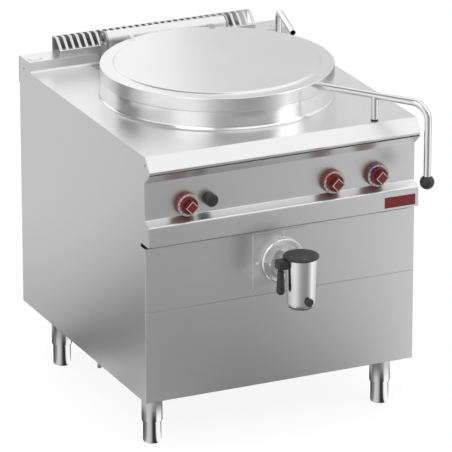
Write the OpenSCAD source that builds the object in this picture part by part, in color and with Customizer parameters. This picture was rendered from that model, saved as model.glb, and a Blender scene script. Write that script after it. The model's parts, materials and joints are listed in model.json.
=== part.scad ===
// Gas boiling pan: free-standing round kettle with a hinged lid, a drain tap and a filling spout.
// Origin: on the floor, under the middle of the whole unit. X is across, -Y is the front, Z is up.

/* [Cabinet] */
// Room between the pan's inner wall and the side of the cabinet
side_room = 100; // [95:1:125]
// Room between the pan's inner wall and the lower front panel
front_room = 110.5; // [109:0.5:125]
// Room between the hinge axis and the wall behind the unit
rear_room = 105; // [103:0.5:120]
// Height of the worktop above the floor
worktop_z = 850; // [840:1:880]
// Height of the cabinet's underside above the floor
leg_h = 150; // [120:1:170]
// Thickness of the cabinet's sheet steel
sheet = 2; // [1:0.1:2.5]
// Height of the seam between the upper and the lower front panel
seam_z = 408; // [380:1:420]
// Gap at that seam
seam_gap = 1; // [0.5:0.1:3]
// Depth of the returns folded on the front panels
panel_return = 17; // [10:1:20]

/* [Worktop] */
// Reach of the nose in front of the lower panel
nose_reach = 33; // [28:1:45]
// Drop of the nose below the worktop
nose_drop = 36; // [30:1:45]
// Start of the bevel in front of the lower panel
bevel_start = 3; // [0:1:8]
// Undercut of the nose, inwards
nose_under = 6; // [3:0.5:10]
// Height of the nose's undercut
nose_under_h = 9; // [6:0.5:12]
// Height of the rear upstand
upstand_h = 30; // [24:1:40]
// Depth of the rear upstand at its top
upstand_d = 74; // [72:1:78]
// Slope of the upstand's face
upstand_slope = 3; // [0:0.5:5]
// Radius of the hollow at the foot of the upstand
upstand_fillet = 10; // [4:1:14]
// Radius of the round plugs on the upstand
plug_r = 21.5; // [16:0.5:24]
// Height of the dark spacer at the back
spacer_h = 76; // [40:1:80]
// Thickness of that spacer
spacer_t = 8; // [4:0.5:12]

/* [Control panel] */
// Set-back of the control panel behind the lower front
panel_recess = 3; // [0:0.5:6]
// Height of the lower edge of the fascia above the floor
fascia_low = 601; // [595:1:610]
// Gap between the fascia and the front panel below it
fascia_gap = 11; // [6:1:16]
// Length of that gap along the side of the cabinet
fascia_slot = 30; // [20:1:60]
// Upper edge of the control panel below the worktop
panel_drop = 76; // [70:1:84]
// Reach of the fascia's top fold in front of the lower panel
hem_reach = 30; // [24:1:33]
// Reach of the lip in front of the lower panel
lip_reach = 24; // [18:1:30]
// Height of the lip's flat front
lip_h = 51; // [40:1:60]
// Slope of the ledge between the panel and the lip
ledge_slope = 23; // [10:1:35]
// Radius of the hollow at the foot of the control panel
cove_r = 5; // [4:0.5:5]
// Radius of the lip's upper edge
lip_r = 7; // [3:0.5:9]
// Height of the knobs above the floor
knob_z = 702.5; // [702:0.5:707]
// Distance of the gas knob from the left side of the cabinet
gas_knob_side = 120; // [100:1:130]
// Distance of the hot water knob from the right side
hot_knob_side = 250; // [220:1:280]
// Distance of the cold water knob from the right side
cold_knob_side = 118; // [100:1:140]
// Radius of a knob's skirt
skirt_r = 33; // [30:0.5:34.5]
// Depth of a knob's skirt
skirt_h = 17; // [12:0.5:20]
// Radius of a knob's round body
knob_r = 24; // [20:0.5:26]
// Height of a knob's body in front of its skirt
knob_h = 12; // [8:0.5:14]
// Side of a knob's square grip
grip_side = 28; // [20:0.5:30]
// Reach of the grip in front of the skirt
grip_h = 27; // [20:0.5:30]
// Radius of a spindle
spindle_r = 5; // [3:0.5:6]
// Distance of the igniter button from the left side
igniter_side = 186.5; // [180:0.5:195]
// Height of the igniter button above the floor
igniter_z = 707; // [700:1:715]
// Radius of the igniter button
igniter_r = 18; // [14:0.5:20]
// Reach of the igniter button in front of the panel
igniter_h = 27; // [20:0.5:30]
// Travel of the igniter button
igniter_travel = 4; // [3:0.5:5]
// Width of the bare plate on the lip
badge_w = 92; // [60:1:110]
// Height of that plate
badge_h = 30; // [20:1:34]
// Distance of that plate's middle from the right side
badge_side = 56; // [50:1:80]
// Height of that plate's middle above the lip's lower edge
badge_up = 22; // [18:1:26]

/* [Pan] */
// Inner radius of the pan
pan_r = 300; // [270:1:330]
// Thickness of the pan's wall
pan_t = 2; // [1.5:0.1:3]
// Height of the pressed floor's edge, where the wall is welded on
pan_seam_up = 56; // [50:1:90]
// Height of the pan's floor above the ground
pan_floor_z = 474; // [465:1:478]
// Radius of the corner between the pan's wall and floor
pan_corner_r = 20; // [12:1:24]
// Depth of the pan's dished floor below its corner
pan_dish = 8; // [4:1:14]
// Height of the collar above the worktop
collar_h = 50.5; // [40:0.5:60]
// Width of the collar's flange at its top
collar_w = 20.5; // [16:0.5:22]
// Flare of the collar at its foot
collar_flare = 3.5; // [2:0.5:6]
// Height of that flare
flare_h = 10; // [6:1:14]

/* [Lid] */
// Overhang of the lid over the collar
lid_over = 1; // [0.5:0.1:2]
// Height of the lid's skirt
lid_h = 37; // [30:1:42]
// Seam between the collar and the lid
lid_seam = 0.7; // [0.5:0.1:1.5]
// Width of the flat edge round the raised middle of the lid
crown_edge = 39; // [30:0.5:45]
// Height of the raised middle
crown_h = 5; // [3:0.5:8]
// Width of the step round it
crown_step = 5; // [3:0.5:8]
// Thickness of the lid's sheet
lid_sheet = 1.5; // [1:0.1:2]
// Depth of the drip rim under the lid
drip_h = 9; // [5:1:12]
// Room between the lid and the hinge axis
hinge_gap = 30; // [29.5:0.1:32]
// Height of the hinge axis above the worktop
hinge_up = 74; // [73:1:78]
// Radius of the tube round the hinge axle
cover_r = 24; // [22:0.5:25]
// Half width between the hinge brackets
cover_half = 181; // [160:1:200]
// Thickness of the hinge brackets
bracket_t = 6; // [4:0.5:8]
// Reach of a bracket's foot to the side
bracket_foot = 30; // [24:1:40]
// Radius of the hinge axle
axle_r = 8; // [6:0.5:9]
// Place of the lid's arms across the hinge
arm_x = 122; // [100:1:140]
// Width of a lid arm
arm_w = 16; // [12:1:20]
// Half height of a lid arm at the hinge tube
arm_half = 8; // [6:0.5:9]
// Radius of an arm's rounded end at the lid
lug_r = 12; // [8:0.5:13]
// Height of that end above the lid's edge
lug_up = 8; // [4:0.5:10]
// Radius of a spring's wire
wire_r = 1.6; // [1:0.1:2]
// Turns of a lid spring
spring_turns = 7; // [5:1:9]

/* [Lid handle] */
// Direction of the handle, from the X axis
handle_angle = -54.1; // [-60:0.1:-50]
// Radius of the handle's tube
tube_r = 10; // [8:0.5:11]
// Wall of the handle's tube
tube_wall = 1.5; // [1:0.1:2]
// Height of the handle's tube above the collar's top
handle_up = 19.5; // [16:0.5:22]
// Reach of the handle beyond the lid
handle_out = 325; // [280:0.5:330]
// Radius of the bend
bend_r = 45; // [30:1:60]
// Height of the ball's middle above the floor
ball_z = 701; // [660:1:720]
// Radius of the ball
ball_r = 20; // [16:0.5:22]
// Reach of the strut beyond the lid
strut_out = 164; // [140:0.5:170]
// Height of the rubber foot under the strut
strut_foot_h = 7; // [4:0.5:10]

/* [Drain tap] */
// Height of the drain above the floor
tap_z = 501; // [500:0.5:504]
// Distance of the tap's axis in front of the lower panel
tap_front = 122; // [116:1:130]
// Bore of the drain pipe
drain_bore_r = 20; // [16:0.5:22]
// Outer radius of the drain pipe
drain_r = 26; // [24:0.5:27]
// Width of the plate behind the tap
plate_w = 170; // [150:1:176]
// Height of that plate
plate_h = 168; // [150:1:172]
// Thickness of that plate
plate_t = 3; // [2:0.5:4]
// Corner radius of that plate
plate_corner = 10; // [4:1:16]
// Distance from the pipe to the plate's studs
stud_reach = 73; // [68:0.5:76]
// Radius of the tap's rosette
rosette_r = 62.5; // [55:0.5:65]
// Thickness of the rosette
rosette_t = 13; // [8:0.5:16]
// Depth of the dish in the rosette
rosette_dish = 3; // [1:0.5:4]
// Radius of the hexagon nut across its corners
nut_r = 48; // [42:0.5:50]
// Thickness of the hexagon nut
nut_t = 15; // [10:0.5:18]
// Radius of the tap's body at its top
cup_top_r = 42.5; // [40:0.5:45]
// Radius of the tap's body at its foot
cup_low_r = 38.5; // [36:0.5:40]
// Height of the top of the tap's body above the drain
cup_up = 46; // [44:0.5:50]
// Depth of the foot of the tap's body below the drain
cup_down = 88; // [80:1:92]
// Radius of the ring round the outlet
outlet_ring_r = 32; // [29:0.5:34]
// Height of that ring
outlet_ring_h = 7; // [4:0.5:10]
// Radius of the outlet
outlet_r = 22; // [18:0.5:24]
// Radius of the turning plug
plug_body_r = 30; // [28:0.5:32]
// Radius of the black cap
cap_r = 49; // [45:0.5:50]
// Thickness of the black cap
cap_h = 9; // [6:0.5:12]
// Distance from the tap's axis to the hanging grip
lever_reach = 60; // [55:0.5:62]
// Length of the hanging grip
lever_len = 72; // [60:1:80]
// Radius of the grip's lower end
lever_r = 11.5; // [9:0.5:12]
// Radius of the grip's upper end
lever_top_r = 8.5; // [7:0.5:10]
// Radius of the lock screw's head
lock_r = 11.3; // [9:0.1:12]
// Direction of the lock screw, from the X axis
lock_angle = -85; // [-95:1:-75]
// Height of the lock screw below the drain
lock_down = 68; // [60:1:72]
// Reach of the lock screw's face from the tap's axis
lock_reach = 50; // [48:0.5:54]

/* [Filling spout] */
// Distance of the spout from the right side of the cabinet
spout_side = 69; // [60:1:72]
// Distance of the spout from the wall behind the unit
spout_rear = 152; // [145:1:160]
// Radius of the spout's tube
spout_r = 9; // [8:0.5:11]
// Wall of the spout's tube
spout_wall = 1.5; // [1:0.1:2]
// Height of the spout's crest above the worktop
spout_up = 104; // [89:1:116]
// Fall of the spout from its crest to its end
spout_fall = 18; // [0:1:24]
// Radius of the spout's bend
spout_bend_r = 22; // [18:1:30]
// Room between the closed lid and the middle of the spout's end
spout_gap = 19.8; // [16:0.1:30]
// Direction of the closed spout, from the X axis
spout_angle = 259.8; // [259:0.1:262]

/* [Flue] */
// Distance of the flue cover's ends from the sides of the cabinet
flue_side = 99; // [94:1:120]
// Depth of the flue cover
flue_d = 58; // [54:1:62]
// Height of the flue cover above the upstand
flue_up = 45; // [38:1:55]
// Depth of the cover's flat top
flue_top_d = 23; // [16:1:28]
// Height of the cover's front edge
flue_front_h = 15; // [10:1:20]
// Width of a slot
slot_w = 12; // [8:0.5:14]
// Pitch of the slots
slot_pitch = 19.75; // [16:0.25:24]

/* [Legs] */
// Distance of the front legs behind the lower front panel
front_leg_back = 86.5; // [80:0.5:95]
// Distance of the rear legs from the wall behind the unit
rear_leg_rear = 155; // [145:1:165]
// Distance of the legs from the cabinet's sides
leg_inset = 55.7; // [50:0.1:65]
// Radius of a leg's sleeve
leg_r = 28.5; // [27:0.5:30]
// Radius of the foot inside it
foot_r = 25; // [23:0.5:26]
// Part of the foot that shows below the sleeve
foot_show = 60; // [50:1:70]
// Travel of an adjustable foot
foot_travel = 30; // [20:1:35]

/* [Burner and pipes] */
// Room between the pan's inner wall and the fire chamber
chamber_gap = 40; // [30:1:45]
// Height of the chamber's lower edge above the floor
chamber_low_z = 330; // [310:1:340]
// Width of the chamber's lower rim
chamber_rim = 25; // [20:1:28]
// Direction of the posts under that rim, from the X axis
post_angle = 58.3; // [56:0.1:60]
// Thickness of the insulation
insulation_t = 25; // [15:1:28]
// Radius of the outer burner ring
burner_r = 200; // [180:1:220]
// Radius of the inner burner ring
inner_burner_r = 105; // [90:1:120]
// Radius of the burner's tube
burner_tube_r = 16; // [12:1:18]
// Height of the burner above the floor
burner_z = 392; // [385:1:400]
// Radius of the gas and water pipes
pipe_r = 7.5; // [6:0.5:8]
// Room between the pipes and the fold under the control panel
pipe_gap = 2; // [0.5:0.5:6]
// Height of the low pipe runs above the floor
pipe_low_z = 250; // [235:1:270]
// Distance of the gas inlet from the left side of the cabinet
gas_inlet_side = 100; // [90:1:110]
// Distance of the gas inlet from the wall behind the unit
gas_inlet_rear = 322; // [300:1:340]
// Distance of the water inlets from the wall behind the unit
water_inlet_rear = 80; // [65:1:105]
// Height of the inlets' open ends above the floor
inlet_z = 65; // [60:1:100]
// Radius of an inlet's half-inch pipe thread
inlet_r = 10.4775; // [8:0.0005:14]
// Length of an inlet's thread
inlet_len = 20; // [14:1:26]
// Radius of a valve's body
valve_r = 13; // [11:0.5:16]
// Length of a valve's body
valve_len = 40; // [34:1:50]
// Height of a valve's pipe ends above and below its middle
valve_half = 24; // [20:1:28]

/* [Fits] */
// Clearance of a piece that slides or turns
run_gap = 0.3; // [0.2:0.05:0.4]
// Clearance of a shaft in its bore
shaft_gap = 0.08; // [0.05:0.01:0.1]
// Clearance where one piece rests on another body
rest_gap = 0.3; // [0.2:0.05:0.5]

/* [Hidden] */
$fn = 64;

// The pan sets the unit's width and depth
half_w = pan_r + side_room;
inner_half = half_w - sheet;
collar_r = pan_r + collar_w;
lid_r = collar_r + lid_over;
crown_r = lid_r - crown_edge;
chamber_r = pan_r + chamber_gap;
pan_back = pan_r + front_room;
hinge_back = pan_back + lid_r + hinge_gap;
body_d = hinge_back + rear_room;
tap_reach = tap_front + lock_reach;

// Depths, measured in the frame of the whole unit
front_y = (tap_reach - body_d) / 2;
wall_y = front_y + body_d;
rear_y = wall_y - spacer_t;
pan_y = front_y + pan_back;
hinge_y = front_y + hinge_back;
panel_y = front_y + panel_recess;
tap_y = front_y - tap_front;
spout_y = wall_y - spout_rear;
gas_inlet_y = wall_y - gas_inlet_rear;
water_inlet_y = wall_y - water_inlet_rear;

// Places across the unit
gas_knob_x = gas_knob_side - half_w;
hot_knob_x = half_w - hot_knob_side;
cold_knob_x = half_w - cold_knob_side;
igniter_x = igniter_side - half_w;
badge_x = half_w - badge_side;
spout_x = half_w - spout_side;
gas_inlet_x = gas_inlet_side - half_w;

// Heights
upstand_z = worktop_z + upstand_h;
spacer_low_z = upstand_z - 4 - spacer_h;
panel_top_z = worktop_z - panel_drop;
hem_z = worktop_z - nose_drop - nose_under_h - 2;
lip_top_z = fascia_low + lip_h;
front_top_z = fascia_low - fascia_gap;
collar_z = worktop_z + collar_h;
lid_low_z = collar_z + lid_seam;
lid_top_z = lid_low_z + lid_h;
hinge_z = worktop_z + hinge_up;
handle_z = collar_z + handle_up;
pan_seam_z = pan_floor_z + pan_seam_up;

// The ledge ends where the lip's round edge starts
cove_z = lip_top_z + lip_r * cos(ledge_slope) + cove_r * cos(ledge_slope)
    + tan(ledge_slope) * (lip_reach + panel_recess - (lip_r + cove_r) * (1 - sin(ledge_slope)));

// Flue
flue_half = half_w - flue_side;
flue_x = flue_half - 13;
flue_front_y = rear_y - flue_d;
duct_front_y = flue_front_y + 2;
duct_back_y = rear_y - 7;
slot_count = floor((2 * flue_half - (slot_pitch - slot_w)) / slot_pitch);

// Throat between the fire chamber and the flue duct
throat_half = 150;
throat_low = worktop_z - 160;
throat_top = worktop_z - 60;

// Plugs on the upstand
plug_x = half_w - 28;
plug_y = rear_y - 40;
plug_hole_r = plug_r - 3;

// Legs
leg_x = half_w - leg_inset;
front_leg_y = front_y + front_leg_back;
rear_leg_y = wall_y - rear_leg_rear;
leg_places = [[-leg_x, front_leg_y], [leg_x, front_leg_y], [-leg_x, rear_leg_y], [leg_x, rear_leg_y]];
frame_h = 35;
frame_w = 40;
cross_w = 90;
foot_in_sleeve = 55;

// Tap
cup_top_z = tap_z + cup_up;
cup_low_z = tap_z - cup_down;
cap_low_z = cup_top_z + 0.7;
nut_face_y = front_y - plate_t - rosette_t + rosette_dish - nut_t;
plug_low_z = tap_z - 60;
plug_top_z = cup_top_z - 2;

// Pipes
pipe_y = front_y + fascia_slot + pipe_gap + pipe_r;
post_r = 8;
post_ring = chamber_r + chamber_rim / 2;

// Handle, from the pan's axis
handle_reach = lid_r + handle_out;
strut_reach = lid_r + strut_out;

// The spout's end stops short of the closed lid: the nearer crossing of its line with a circle round the lid
spout_way = [cos(spout_angle), sin(spout_angle)];
spout_from = [spout_x, spout_y - pan_y];
spout_along = spout_from * spout_way;
spout_len = -spout_along - sqrt(pow(spout_along, 2) - spout_from * spout_from + pow(lid_r + spout_gap, 2));

// Points along an arc, from angle a to angle b in n steps
function arc(c, r, a, b, n = 6) = [for (i = [0 : n]) c + r * [cos(a + (b - a) * i / n), sin(a + (b - a) * i / n)]];
function unit(v) = v / norm(v);
function left_of(v) = [-v[1], v[0]];
function turned(p) = [for (i = [len(p) - 1 : -1 : 0]) p[i]];

// The other face of a sheet of thickness t that is folded along path p, mitred at each fold
function other_face(p, t) = [for (i = [0 : len(p) - 1])
    let (a = left_of(unit(p[max(i, 1)] - p[max(i, 1) - 1])),
         b = left_of(unit(p[min(i + 1, len(p) - 1)] - p[min(i + 1, len(p) - 1) - 1])))
    p[i] + t * (a + b) / (1 + a * b)];

// Outer line of the worktop, from under the nose to the back of the upstand, in Y and Z
worktop_line = concat(
    [[front_y - nose_reach + nose_under, worktop_z - nose_drop - nose_under_h],
     [front_y - nose_reach, worktop_z - nose_drop],
     [front_y - bevel_start, worktop_z]],
    arc([rear_y - upstand_d - upstand_slope - upstand_fillet, worktop_z + upstand_fillet],
        upstand_fillet, -90, -3),
    [[rear_y - upstand_d, upstand_z],
     [rear_y, upstand_z],
     [rear_y, spacer_low_z]]);

// Outer line of the fascia, from its top fold to its lower return
fascia_line = concat(
    [[front_y + 20, hem_z], [front_y - hem_reach, hem_z], [panel_y, panel_top_z]],
    arc([panel_y - cove_r, cove_z], cove_r, 0, ledge_slope - 90),
    arc([front_y - lip_reach + lip_r, lip_top_z], lip_r, 90 + ledge_slope, 180),
    [[front_y - lip_reach, fascia_low], [front_y + fascia_slot - 2, fascia_low]]);

// Outline of a side panel
side_line = concat(
    [[rear_y, spacer_low_z], [rear_y, leg_h], [front_y, leg_h], [front_y, front_top_z],
     [front_y + fascia_slot, front_top_z], [front_y + fascia_slot, fascia_low],
     [front_y - lip_reach, fascia_low]],
    turned(arc([front_y - lip_reach + lip_r, lip_top_z], lip_r, 90 + ledge_slope, 180)),
    turned(arc([panel_y - cove_r, cove_z], cove_r, 0, ledge_slope - 90)),
    [[panel_y, panel_top_z], [front_y - hem_reach, hem_z]],
    other_face(worktop_line, -sheet));

// A profile in Y and Z, carried across the unit
module across(w, x = 0) translate([x, 0, 0]) rotate([90, 0, 90]) linear_extrude(w, center = true) children();

// A sheet folded along a line; the sheet lies on the left of the line, or on its right if t is negative
module folded(p, t) polygon(concat(p, turned(other_face(p, t))));

// A block from its low corner to its high corner
module block(a, b) translate(a) cube(b - a);

// A round rod from a to b
module rod(a, b, r) {
    d = b - a;
    translate(a) rotate([0, acos(d[2] / norm(d)), atan2(d[1], d[0])]) cylinder(h = norm(d), r = r);
}

// A pipe along points, with round elbows
module pipe_run(points, r = pipe_r) {
    for (i = [0 : len(points) - 2]) rod(points[i], points[i + 1], r);
    for (i = [1 : 1 : len(points) - 2]) translate(points[i]) sphere(r = r);
}

// Along Y: stands a Z shape so that its foot is at y and it points to the front
module facing_front(x, y, z) translate([x, y, z]) rotate([90, 0, 0]) children();

module side_panel() {
    holes = [[rear_y - 32, worktop_z, 3.5], [front_y - 2, worktop_z - 24, 3], [pan_y + 13, worktop_z - 24, 1.5]];
    across(sheet) difference() {
        polygon(side_line);
        for (h = holes) translate([h[0], h[1]]) circle(r = h[2], $fn = 24);
    }
}

module side_panel_left() color("silver") translate([-half_w + sheet / 2, 0, 0]) side_panel();
module side_panel_right() color("silver") translate([half_w - sheet / 2, 0, 0]) side_panel();

// Back wall with folded side edges
module rear_panel() {
    edge = 16;
    low = leg_h + frame_h;
    color("silver") {
        block([-inner_half, rear_y - sheet, leg_h], [inner_half, rear_y, spacer_low_z]);
        for (s = [-1, 1]) block([s * (inner_half - sheet / 2) - sheet / 2, rear_y - edge, low],
                                [s * (inner_half - sheet / 2) + sheet / 2, rear_y, spacer_low_z]);
    }
}

// Ring of channel with two cross plates for the legs
module base_frame() {
    y0 = front_y + sheet;
    y1 = rear_y - sheet;
    top = leg_h + frame_h;
    color("gainsboro") {
        difference() {
            block([-inner_half, y0, leg_h], [inner_half, y1, top]);
            block([-inner_half + frame_w, y0 + frame_w, leg_h - 1], [inner_half - frame_w, y1 - frame_w, top + 1]);
            difference() {
                block([-inner_half + sheet, y0 + sheet, leg_h + sheet], [inner_half - sheet, y1 - sheet, top + 1]);
                block([-inner_half + frame_w - sheet, y0 + frame_w - sheet, leg_h],
                      [inner_half - frame_w + sheet, y1 - frame_w + sheet, top + 2]);
            }
        }
        for (y = [front_leg_y, rear_leg_y])
            block([-inner_half + frame_w - 1, y - cross_w / 2, leg_h],
                  [inner_half - frame_w + 1, y + cross_w / 2, leg_h + sheet]);
    }
}

module worktop() {
    color("whitesmoke") difference() {
        across(2 * half_w) folded(worktop_line, -sheet);
        translate([0, pan_y, worktop_z - 5]) cylinder(h = 10, r = collar_r - 6, $fn = 128);
        block([-flue_x + 2, duct_front_y + 2, upstand_z - 5], [flue_x - 2, duct_back_y - 2, upstand_z + 1]);
        for (s = [-1, 1]) translate([s * plug_x, plug_y, upstand_z - 5]) cylinder(h = 10, r = plug_hole_r);
    }
}

module upstand_plugs() {
    shank_r = plug_hole_r - run_gap;
    color("silver") for (s = [-1, 1]) translate([s * plug_x, plug_y, upstand_z])
        rotate_extrude() polygon([[0, -4], [shank_r, -4], [shank_r, 0],
                                  [plug_r, 0], [plug_r - 1, 1.5], [0, 2]]);
}

module rear_spacer() {
    color("dimgray") block([-inner_half, rear_y, spacer_low_z], [inner_half, wall_y, spacer_low_z + spacer_h]);
}

// Raised ring that carries the pan, with a top flange that turns in
module collar() {
    foot_r = collar_r + collar_flare;
    wall = sheet;
    color("gainsboro") translate([0, pan_y, worktop_z]) rotate_extrude($fn = 128)
        polygon(concat([[foot_r - wall - 2, 0], [foot_r, 0], [foot_r + 0.8, 1.2], [foot_r, 2.4]],
                       [for (i = [1 : 4]) [collar_r + collar_flare * pow(1 - i / 4, 2), 2.4 + (flare_h - 2.4) * i / 4]],
                       [[collar_r, collar_h - 1], [collar_r - 1, collar_h], [pan_r, collar_h],
                        [pan_r, collar_h - wall], [collar_r - wall, collar_h - wall], [collar_r - wall, flare_h],
                        [foot_r - wall - 2, 2.4]]));
}

// Rolled wall of the pan, with a rim that turns out under the collar's flange
module pan_wall() {
    rim_z = collar_z - sheet;
    color("lightgray") translate([0, pan_y, 0]) rotate_extrude($fn = 128)
        polygon([[pan_r, pan_seam_z], [pan_r + pan_t, pan_seam_z], [pan_r + pan_t, rim_z - pan_t],
                 [collar_r - 5, rim_z - pan_t], [collar_r - 5, rim_z], [pan_r, rim_z]]);
}

// Pressed floor with a round corner and the hole to the tap
module pan_floor() {
    low = pan_floor_z + pan_corner_r;
    flat_r = pan_r - pan_corner_r - 60;
    color("lightgray") translate([0, pan_y, 0]) difference() {
        rotate_extrude($fn = 128)
            polygon(concat([[0, pan_floor_z - pan_dish], [flat_r, pan_floor_z - pan_dish / 3]],
                           arc([pan_r - pan_corner_r, low], pan_corner_r, -84, 0),
                           [[pan_r, pan_seam_z], [pan_r + pan_t, pan_seam_z]],
                           arc([pan_r - pan_corner_r, low], pan_corner_r + pan_t, 0, -84),
                           [[flat_r, pan_floor_z - pan_dish / 3 - pan_t], [0, pan_floor_z - pan_dish - pan_t]]));
        translate([0, -pan_r + 40, tap_z]) rotate([90, 0, 0]) cylinder(h = 60, r = drain_bore_r);
    }
}

// Fire chamber round the pan, open below
module fire_chamber() {
    top_z = worktop_z - 14;
    color("darkgray") translate([0, pan_y, 0]) difference() {
        rotate_extrude($fn = 128)
            polygon([[chamber_r - sheet, chamber_low_z], [chamber_r + chamber_rim, chamber_low_z],
                     [chamber_r + chamber_rim, chamber_low_z + sheet], [chamber_r, chamber_low_z + sheet],
                     [chamber_r, top_z], [pan_r + pan_t + run_gap, top_z],
                     [pan_r + pan_t + run_gap, top_z - sheet], [chamber_r - sheet, top_z - sheet]]);
        translate([0, -chamber_r + 30, tap_z]) rotate([90, 0, 0]) cylinder(h = 60, r = drain_r + run_gap);
        block([-throat_half + sheet, 0, throat_low + sheet], [throat_half - sheet, chamber_r + 10, throat_top - sheet]);
    }
}

module chamber_posts() {
    color("darkgray") translate([0, pan_y, leg_h + sheet])
        for (a = [post_angle, 180 - post_angle, 180 + post_angle, -post_angle])
            rotate(a) translate([post_ring, 0, 0]) cylinder(h = chamber_low_z - leg_h - sheet, r = post_r);
}

module insulation() {
    inner = chamber_r + run_gap;
    low = chamber_low_z + sheet;
    color("khaki") translate([0, pan_y, low]) difference() {
        cylinder(h = worktop_z - 20 - low, r = chamber_r + insulation_t, $fn = 128);
        translate([0, 0, -1]) cylinder(h = worktop_z, r = inner, $fn = 128);
        translate([0, -chamber_r + 30, tap_z - low]) rotate([90, 0, 0]) cylinder(h = 80, r = drain_r + 2);
        block([-throat_half - 2, 0, throat_low - 2 - low], [throat_half + 2, chamber_r + 60, throat_top + 2 - low]);
    }
}

// Riser to the grille, with a throat that meets the fire chamber
module flue_duct() {
    wall = 1.5;
    low = throat_low - 60;
    color("darkgray") difference() {
        union() {
            block([-flue_x, duct_front_y, low], [flue_x, duct_back_y, upstand_z - sheet]);
            block([-throat_half, pan_y + chamber_r - 60, throat_low], [throat_half, duct_front_y + wall, throat_top]);
        }
        block([-flue_x + wall, duct_front_y + wall, low + wall],
              [flue_x - wall, duct_back_y - wall, upstand_z + 1]);
        block([-throat_half + wall, pan_y + chamber_r - 70, throat_low + wall],
              [throat_half - wall, duct_front_y + 10, throat_top - wall]);
        translate([0, pan_y, throat_low - 1]) cylinder(h = throat_top - throat_low + 2, r = chamber_r + 0.1, $fn = 128);
    }
}

// Bent cover with slots over the flue, open at its ends
module flue_grille() {
    top_z = upstand_z + flue_up;
    bend = 6;
    run = rear_y - 1 - flue_top_d - flue_front_y;
    fall = flue_up - flue_front_h;
    slope = atan(fall / run);
    line = concat([[rear_y - 1, upstand_z], [rear_y - 1, top_z - 3], [rear_y - 4, top_z]],
                  arc([rear_y - 1 - flue_top_d, top_z - bend], bend, 90, 90 + slope, 4),
                  [[flue_front_y, upstand_z + flue_front_h], [flue_front_y, upstand_z]]);
    color("gainsboro") difference() {
        across(2 * flue_half) folded(line, 1.5);
        for (i = [0 : slot_count - 1]) translate([(i - (slot_count - 1) / 2) * slot_pitch, 0, 0])
            block([-slot_w / 2, flue_front_y + 2, upstand_z + flue_front_h - 2],
                  [slot_w / 2, rear_y - 9, top_z + 1]);
    }
}

// Two burner rings on a cross tube, carried by a bar across the chamber
module burner() {
    bar_z = burner_z - burner_tube_r;
    color("slategray") translate([0, pan_y, 0]) {
        translate([0, 0, burner_z]) {
            for (r = [burner_r, inner_burner_r]) rotate_extrude() translate([r, 0]) circle(r = burner_tube_r);
            for (a = [0, 90]) rotate(a)
                translate([-burner_r, 0, 0]) rotate([0, 90, 0]) cylinder(h = 2 * burner_r, r = burner_tube_r * 0.7);
        }
        intersection() {
            block([-chamber_r, -20, bar_z - 6], [chamber_r, 20, bar_z + 1]);
            translate([0, 0, bar_z - 10]) cylinder(h = 20, r = chamber_r - sheet, $fn = 128);
        }
    }
}

// Valve body behind the panel; its bonnet touches the panel's back
module valve_body(x) {
    back = panel_y + sheet;
    difference() {
        union() {
            translate([x, back + valve_len, knob_z]) rotate([90, 0, 0]) cylinder(h = valve_len, r = valve_r);
            translate([x, back + 10, knob_z]) rotate([90, 0, 0]) cylinder(h = 10, r = valve_r + 6, $fn = 6);
            translate([x, pipe_y, knob_z - valve_half]) cylinder(h = 2 * valve_half, r = pipe_r + 3);
        }
        translate([x, back + 26, knob_z]) rotate([90, 0, 0]) cylinder(h = 40, r = spindle_r + shaft_gap);
    }
}

module gas_valve() {
    color("goldenrod") {
        valve_body(gas_knob_x);
        block([gas_knob_x - 22, pipe_y - 4, knob_z - 20], [gas_knob_x + 22, pipe_y + 12, knob_z - 14]);
    }
}

// Threaded end of a supply pipe, open end down
module inlet(x, y) translate([x, y, inlet_z]) cylinder(h = inlet_len, r = inlet_r);

// Gas comes up under the cabinet, along to the valve, and from there to the burner
module gas_pipes() {
    valve_low = knob_z - valve_half;
    feed_x = gas_knob_x + 40;
    feed_y = pan_y - burner_r * sin(45);
    color("goldenrod") {
        inlet(gas_inlet_x, gas_inlet_y);
        pipe_run([[gas_inlet_x, gas_inlet_y, inlet_z + 1], [gas_inlet_x, gas_inlet_y, pipe_low_z],
                  [gas_inlet_x, pipe_y, pipe_low_z], [gas_knob_x, pipe_y, pipe_low_z],
                  [gas_knob_x, pipe_y, valve_low]]);
        pipe_run([[gas_knob_x + valve_r, pipe_y, knob_z], [feed_x, pipe_y, knob_z],
                  [feed_x, pipe_y, pipe_low_z + 40], [feed_x, feed_y, pipe_low_z + 40],
                  [-burner_r * cos(45), feed_y, pipe_low_z + 40],
                  [-burner_r * cos(45), feed_y, burner_z - burner_tube_r]], 5);
    }
}

module water_valves() {
    color("goldenrod") for (x = [hot_knob_x, cold_knob_x]) valve_body(x);
}

// Two supplies from below the back, and the joined feed to the spout
module water_pipes() {
    valve_low = knob_z - valve_half;
    valve_top = knob_z + valve_half;
    join_z = knob_z + 45;
    side_x = half_w - 22;
    color("peru") {
        for (x = [hot_knob_x, cold_knob_x]) {
            inlet(x, water_inlet_y);
            pipe_run([[x, water_inlet_y, inlet_z + 1], [x, water_inlet_y, pipe_low_z],
                      [x, pipe_y, pipe_low_z], [x, pipe_y, valve_low]]);
        }
        pipe_run([[hot_knob_x, pipe_y, valve_top], [hot_knob_x, pipe_y, join_z], [side_x, pipe_y, join_z],
                  [side_x, spout_y, join_z], [spout_x, spout_y, join_z], [spout_x, spout_y, worktop_z - sheet]]);
        rod([cold_knob_x, pipe_y, valve_top], [cold_knob_x, pipe_y, join_z], pipe_r);
    }
}

module fascia() {
    color("silver") difference() {
        across(2 * inner_half) folded(fascia_line, sheet);
        for (x = [gas_knob_x, hot_knob_x, cold_knob_x])
            facing_front(x, panel_y + sheet + 1, knob_z) cylinder(h = sheet + 2, r = spindle_r + 1);
    }
}

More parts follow.
